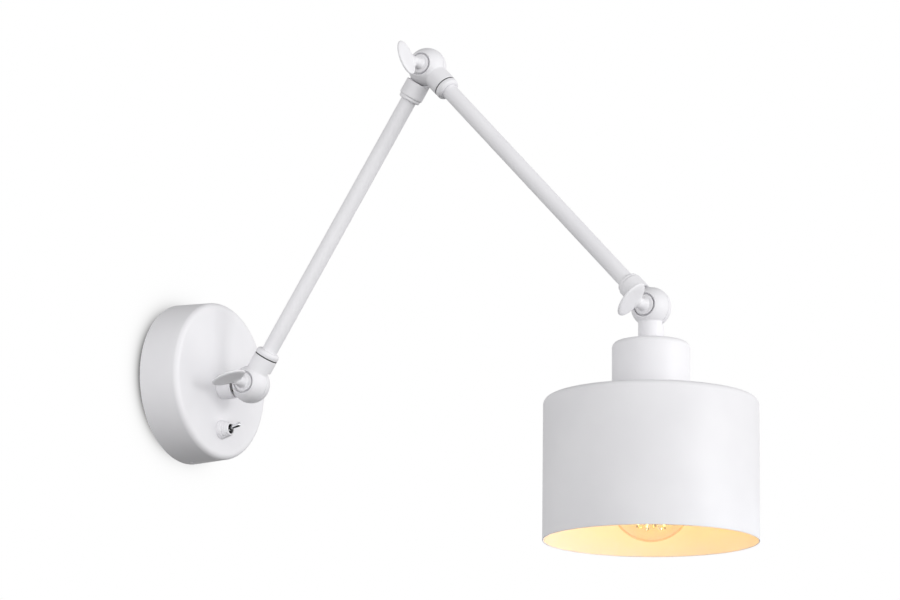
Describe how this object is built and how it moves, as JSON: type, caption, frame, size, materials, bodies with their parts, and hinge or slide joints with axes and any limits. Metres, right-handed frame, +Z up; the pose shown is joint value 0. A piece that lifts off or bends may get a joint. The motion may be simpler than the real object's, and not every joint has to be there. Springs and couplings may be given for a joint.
{
  "type": "swing arm wall sconce",
  "caption": "White wall lamp with a round canopy and toggle switch, a folding pair of swivelling arms on clamped ball knuckles, and a drum shade over a clear filament bulb.",
  "frame": {"origin": "centre of the canopy's back face, on the wall, which is also the centre of the bracket's two slots", "axes": "+Y into the wall, the lamp stands out towards -Y; +Z up; +X to the right for someone facing the wall, along the knuckle hinges"},
  "size_m": [0.1538, 0.4823, 0.3889],
  "materials": {
    "white_paint": "fine matte powder coat",
    "zinc_steel": "zinc plated, satin",
    "chrome": "polished",
    "brass": "machined",
    "black_plastic": "moulded, matte",
    "terminal_plastic": "moulded",
    "brown_wire": "PVC insulation",
    "blue_wire": "PVC insulation",
    "earth_wire": "PVC insulation, green with a yellow stripe",
    "cable_sheath": "PVC sheath",
    "bulb_glass": "clear",
    "filament": "glowing warm white filaments"
  },
  "bodies": {
    "canopy": {"wall_bracket": "zinc_steel", "canopy_cover": "white_paint", "cover_screws": "zinc_steel", "terminal_block": "terminal_plastic", "terminal_screws": "brass", "earth_screw": "brass", "stub_nipple": "brass", "stub_lock_nut": "zinc_steel", "switch_body": "black_plastic", "switch_bushing": "chrome", "switch_nut": "zinc_steel", "switch_collar": "white_paint", "switch_seal": "black_plastic", "live_wires": "brown_wire", "neutral_wire": "blue_wire", "earth_wire": "earth_wire", "base_cable": "cable_sheath", "base_ball_rear": "white_paint", "base_clamp_nut": "zinc_steel", "base_friction_washer": "black_plastic"},
    "switch_lever": {"switch_lever": "chrome"},
    "base_knuckle": {"base_ball_front": "white_paint", "base_spring_washer": "zinc_steel"},
    "base_wing": {"base_wing_screw": "white_paint"},
    "lower_arm": {"lower_swivel_washer": "black_plastic", "lower_arm_collar": "white_paint", "lower_arm_nipple": "brass", "lower_arm_tube": "white_paint", "lower_arm_cable": "cable_sheath", "elbow_ball_rear": "white_paint", "elbow_clamp_nut": "zinc_steel", "elbow_friction_washer": "black_plastic"},
    "elbow_knuckle": {"elbow_ball_front": "white_paint", "elbow_spring_washer": "zinc_steel"},
    "elbow_wing": {"elbow_wing_screw": "white_paint"},
    "upper_arm": {"upper_swivel_washer": "black_plastic", "upper_arm_collar": "white_paint", "upper_arm_nipple": "brass", "upper_arm_tube": "white_paint", "upper_arm_cable": "cable_sheath", "head_ball_rear": "white_paint", "head_clamp_nut": "zinc_steel", "head_friction_washer": "black_plastic"},
    "head": {"head_ball_front": "white_paint", "head_spring_washer": "zinc_steel", "head_nipple": "brass", "head_cable": "cable_sheath", "shade_cap": "white_paint", "shade": "white_paint", "shade_ring": "black_plastic", "lampholder_dome": "black_plastic", "lampholder_shell": "black_plastic", "lampholder_sleeve": "brass", "lampholder_contact": "brass", "bulb_base": "zinc_steel", "bulb_contact": "black_plastic", "bulb_glass": "bulb_glass", "bulb_stem": "bulb_glass", "bulb_filament": "filament"},
    "head_wing": {"head_wing_screw": "white_paint"}
  },
  "joints": [
    {"name": "switch_toggle", "type": "hinge", "parent": "canopy", "child": "switch_lever", "pos_m": [0, -0.0392, -0.038], "axis": [1, 0, 0], "range_deg": [0, 28]},
    {"name": "base_tilt", "type": "hinge", "parent": "canopy", "child": "base_knuckle", "pos_m": [0, -0.0604, -0.005], "axis": [1, 0, 0], "range_deg": [-31.5, 110]},
    {"name": "base_wing_turn", "type": "hinge", "parent": "base_knuckle", "child": "base_wing", "pos_m": [0, -0.0604, -0.005], "axis": [-1, 0, 0], "range_deg": [0, 270]},
    {"name": "lower_arm_swivel", "type": "hinge", "parent": "base_knuckle", "child": "lower_arm", "pos_m": [0, -0.07375, 0.01494], "axis": [0, -0.5563, 0.831], "range_deg": [-90, 90]},
    {"name": "elbow_tilt", "type": "hinge", "parent": "lower_arm", "child": "elbow_knuckle", "pos_m": [0, -0.21427, 0.22485], "axis": [1, 0, 0], "range_deg": [-100, 6]},
    {"name": "elbow_wing_turn", "type": "hinge", "parent": "elbow_knuckle", "child": "elbow_wing", "pos_m": [0, -0.21427, 0.22485], "axis": [-1, 0, 0], "range_deg": [0, 270]},
    {"name": "upper_arm_swivel", "type": "hinge", "parent": "elbow_knuckle", "child": "upper_arm", "pos_m": [0, -0.23064, 0.2073], "axis": [0, -0.682, -0.7314], "range_deg": [-165, 165]},
    {"name": "head_tilt", "type": "hinge", "parent": "upper_arm", "child": "head", "pos_m": [0, -0.40544, 0.01985], "axis": [1, 0, 0], "range_deg": [-95, 60]},
    {"name": "head_wing_turn", "type": "hinge", "parent": "head", "child": "head_wing", "pos_m": [0, -0.40544, 0.01985], "axis": [-1, 0, 0], "range_deg": [0, 270]}
  ]
}
